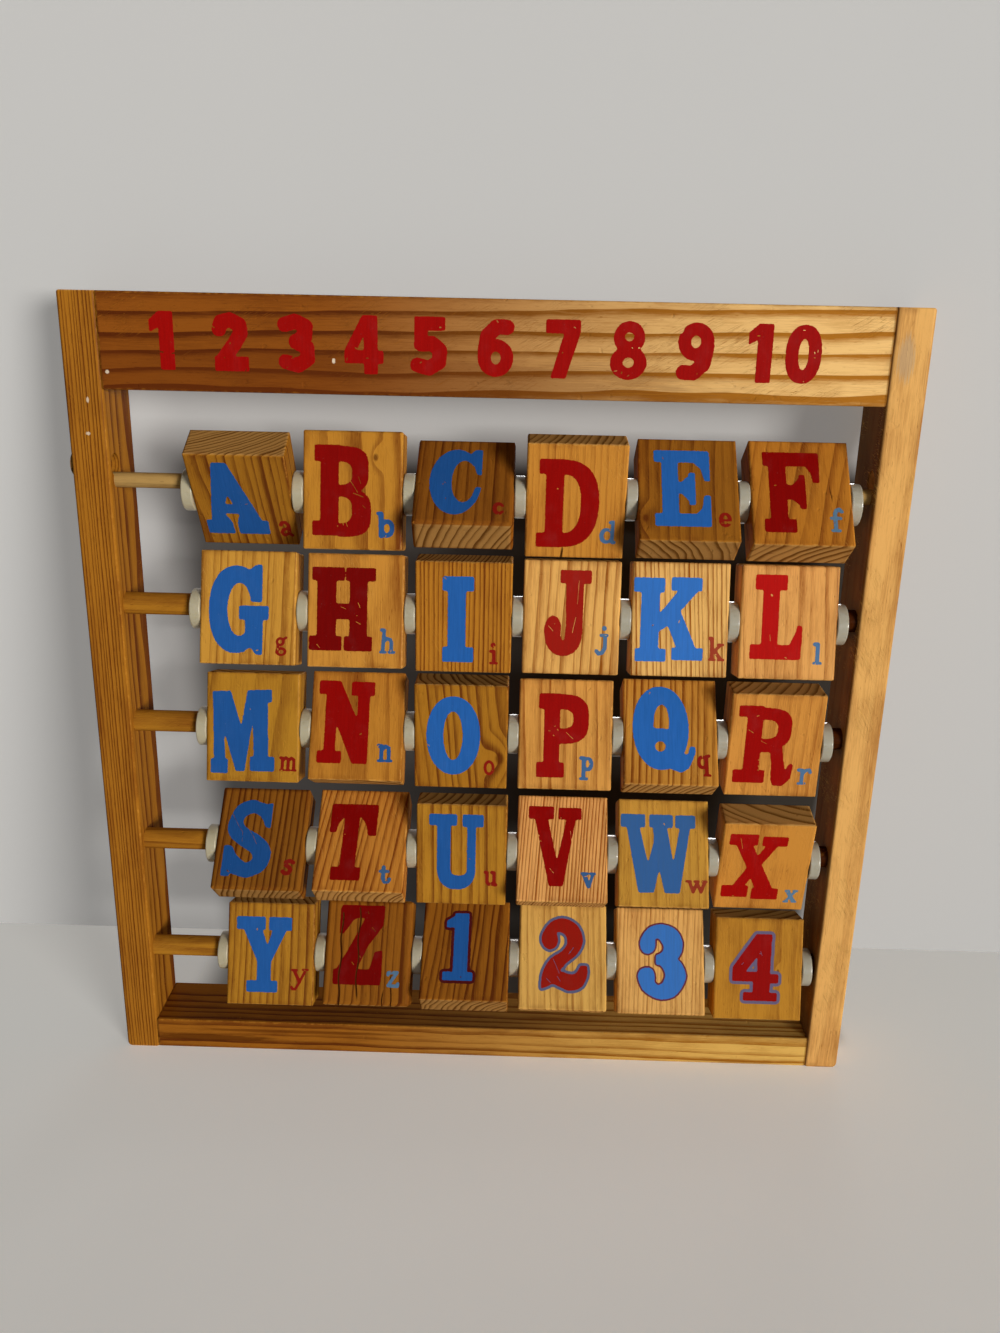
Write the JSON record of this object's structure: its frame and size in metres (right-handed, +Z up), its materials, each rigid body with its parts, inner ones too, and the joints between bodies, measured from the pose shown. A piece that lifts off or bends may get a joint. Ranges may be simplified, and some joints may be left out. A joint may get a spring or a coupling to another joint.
{
  "type": "alphabet flip block toy",
  "caption": "Upright wooden frame with rows of wooden letter and number blocks that turn and slide on dowels between plastic spacer rings.",
  "frame": {"origin": "on the underside of the bottom rail, midway between the stiles and straight under the dowels' axes", "axes": "+X to the viewer's right along the dowels, +Y to the back, +Z up along the stiles; the letters face -Y"},
  "size_m": [0.2716, 0.0371, 0.2739],
  "materials": {
    "frame_pine": "varnished",
    "block_pine": "varnished",
    "block_pine_dark": "varnished",
    "block_pine_pale": "varnished",
    "dowel_wood": "varnished",
    "dowel_pale": "bare",
    "spacer_plastic": "gloss",
    "steel": "satin",
    "paint_blue": "screened enamel",
    "paint_red": "screened enamel"
  },
  "bodies": {
    "frame": {"left_stile": "frame_pine", "right_stile": "frame_pine", "top_rail": "frame_pine", "bottom_rail": "frame_pine", "left_brads": "steel", "right_brads": "steel", "dowel_1": "dowel_pale", "dowel_2": "dowel_wood", "dowel_3": "dowel_wood", "dowel_4": "dowel_wood", "dowel_5": "dowel_wood", "dowel_stub": "dowel_wood"},
    "row_1": {"spacers_1": "spacer_plastic"},
    "row_2": {"spacers_2": "spacer_plastic"},
    "row_3": {"spacers_3": "spacer_plastic"},
    "row_4": {"spacers_4": "spacer_plastic"},
    "row_5": {"spacers_5": "spacer_plastic"},
    "block_a": {"block_a": "block_pine"},
    "block_b": {"block_b": "block_pine"},
    "block_c": {"block_c": "block_pine_dark"},
    "block_d": {"block_d": "block_pine"},
    "block_e": {"block_e": "block_pine_dark"},
    "block_f": {"block_f": "block_pine"},
    "block_g": {"block_g": "block_pine"},
    "block_h": {"block_h": "block_pine"},
    "block_i": {"block_i": "block_pine"},
    "block_j": {"block_j": "block_pine_pale"},
    "block_k": {"block_k": "block_pine_pale"},
    "block_l": {"block_l": "block_pine"},
    "block_m": {"block_m": "block_pine"},
    "block_n": {"block_n": "block_pine"},
    "block_o": {"block_o": "block_pine"},
    "block_p": {"block_p": "block_pine"},
    "block_q": {"block_q": "block_pine"},
    "block_r": {"block_r": "block_pine"},
    "block_s": {"block_s": "block_pine_dark"},
    "block_t": {"block_t": "block_pine"},
    "block_u": {"block_u": "block_pine"},
    "block_v": {"block_v": "block_pine"},
    "block_w": {"block_w": "block_pine_pale"},
    "block_x": {"block_x": "block_pine"},
    "block_y": {"block_y": "block_pine"},
    "block_z": {"block_z": "block_pine_dark"},
    "block_1": {"block_1": "block_pine_dark"},
    "block_2": {"block_2": "block_pine_pale"},
    "block_3": {"block_3": "block_pine_pale"},
    "block_4": {"block_4": "block_pine"}
  },
  "joints": [
    {"name": "row_1_slide", "type": "slide", "parent": "frame", "child": "row_1", "axis": [1, 0, 0], "range_m": [-0.0227, 0.0034]},
    {"name": "row_2_slide", "type": "slide", "parent": "frame", "child": "row_2", "axis": [1, 0, 0], "range_m": [-0.0228, 0.0033]},
    {"name": "row_3_slide", "type": "slide", "parent": "frame", "child": "row_3", "axis": [1, 0, 0], "range_m": [-0.0224, 0.0037]},
    {"name": "row_4_slide", "type": "slide", "parent": "frame", "child": "row_4", "axis": [1, 0, 0], "range_m": [-0.023, 0.0031]},
    {"name": "row_5_slide", "type": "slide", "parent": "frame", "child": "row_5", "axis": [1, 0, 0], "range_m": [-0.0248, 0.0013]},
    {"name": "turn_a", "type": "hinge", "parent": "row_1", "child": "block_a", "pos_m": [-0.08035, 0, 0.21312], "axis": [1, 0, 0], "continuous": true},
    {"name": "turn_b", "type": "hinge", "parent": "row_1", "child": "block_b", "pos_m": [-0.04435, 0, 0.21312], "axis": [1, 0, 0], "continuous": true},
    {"name": "turn_c", "type": "hinge", "parent": "row_1", "child": "block_c", "pos_m": [-0.00835, 0, 0.21312], "axis": [1, 0, 0], "continuous": true},
    {"name": "turn_d", "type": "hinge", "parent": "row_1", "child": "block_d", "pos_m": [0.02765, 0, 0.21312], "axis": [1, 0, 0], "continuous": true},
    {"name": "turn_e", "type": "hinge", "parent": "row_1", "child": "block_e", "pos_m": [0.06365, 0, 0.21312], "axis": [1, 0, 0], "continuous": true},
    {"name": "turn_f", "type": "hinge", "parent": "row_1", "child": "block_f", "pos_m": [0.09965, 0, 0.21312], "axis": [1, 0, 0], "continuous": true},
    {"name": "turn_g", "type": "hinge", "parent": "row_2", "child": "block_g", "pos_m": [-0.08025, 0, 0.17269], "axis": [1, 0, 0], "continuous": true},
    {"name": "turn_h", "type": "hinge", "parent": "row_2", "child": "block_h", "pos_m": [-0.04425, 0, 0.17269], "axis": [1, 0, 0], "continuous": true},
    {"name": "turn_i", "type": "hinge", "parent": "row_2", "child": "block_i", "pos_m": [-0.00825, 0, 0.17269], "axis": [1, 0, 0], "continuous": true},
    {"name": "turn_j", "type": "hinge", "parent": "row_2", "child": "block_j", "pos_m": [0.02775, 0, 0.17269], "axis": [1, 0, 0], "continuous": true},
    {"name": "turn_k", "type": "hinge", "parent": "row_2", "child": "block_k", "pos_m": [0.06375, 0, 0.17269], "axis": [1, 0, 0], "continuous": true},
    {"name": "turn_l", "type": "hinge", "parent": "row_2", "child": "block_l", "pos_m": [0.09975, 0, 0.17269], "axis": [1, 0, 0], "continuous": true},
    {"name": "turn_m", "type": "hinge", "parent": "row_3", "child": "block_m", "pos_m": [-0.08065, 0, 0.13016], "axis": [1, 0, 0], "continuous": true},
    {"name": "turn_n", "type": "hinge", "parent": "row_3", "child": "block_n", "pos_m": [-0.04465, 0, 0.13016], "axis": [1, 0, 0], "continuous": true},
    {"name": "turn_o", "type": "hinge", "parent": "row_3", "child": "block_o", "pos_m": [-0.00865, 0, 0.13016], "axis": [1, 0, 0], "continuous": true},
    {"name": "turn_p", "type": "hinge", "parent": "row_3", "child": "block_p", "pos_m": [0.02735, 0, 0.13016], "axis": [1, 0, 0], "continuous": true},
    {"name": "turn_q", "type": "hinge", "parent": "row_3", "child": "block_q", "pos_m": [0.06335, 0, 0.13016], "axis": [1, 0, 0], "continuous": true},
    {"name": "turn_r", "type": "hinge", "parent": "row_3", "child": "block_r", "pos_m": [0.09935, 0, 0.13016], "axis": [1, 0, 0], "continuous": true},
    {"name": "turn_s", "type": "hinge", "parent": "row_4", "child": "block_s", "pos_m": [-0.08005, 0, 0.08454], "axis": [1, 0, 0], "continuous": true},
    {"name": "turn_t", "type": "hinge", "parent": "row_4", "child": "block_t", "pos_m": [-0.04405, 0, 0.08454], "axis": [1, 0, 0], "continuous": true},
    {"name": "turn_u", "type": "hinge", "parent": "row_4", "child": "block_u", "pos_m": [-0.00805, 0, 0.08454], "axis": [1, 0, 0], "continuous": true},
    {"name": "turn_v", "type": "hinge", "parent": "row_4", "child": "block_v", "pos_m": [0.02795, 0, 0.08454], "axis": [1, 0, 0], "continuous": true},
    {"name": "turn_w", "type": "hinge", "parent": "row_4", "child": "block_w", "pos_m": [0.06395, 0, 0.08454], "axis": [1, 0, 0], "continuous": true},
    {"name": "turn_x", "type": "hinge", "parent": "row_4", "child": "block_x", "pos_m": [0.09995, 0, 0.08454], "axis": [1, 0, 0], "continuous": true},
    {"name": "turn_y", "type": "hinge", "parent": "row_5", "child": "block_y", "pos_m": [-0.07825, 0, 0.04021], "axis": [1, 0, 0], "continuous": true},
    {"name": "turn_z", "type": "hinge", "parent": "row_5", "child": "block_z", "pos_m": [-0.04225, 0, 0.04021], "axis": [1, 0, 0], "continuous": true},
    {"name": "turn_1", "type": "hinge", "parent": "row_5", "child": "block_1", "pos_m": [-0.00625, 0, 0.04021], "axis": [1, 0, 0], "continuous": true},
    {"name": "turn_2", "type": "hinge", "parent": "row_5", "child": "block_2", "pos_m": [0.02975, 0, 0.04021], "axis": [1, 0, 0], "continuous": true},
    {"name": "turn_3", "type": "hinge", "parent": "row_5", "child": "block_3", "pos_m": [0.06575, 0, 0.04021], "axis": [1, 0, 0], "continuous": true},
    {"name": "turn_4", "type": "hinge", "parent": "row_5", "child": "block_4", "pos_m": [0.10175, 0, 0.04021], "axis": [1, 0, 0], "continuous": true}
  ]
}
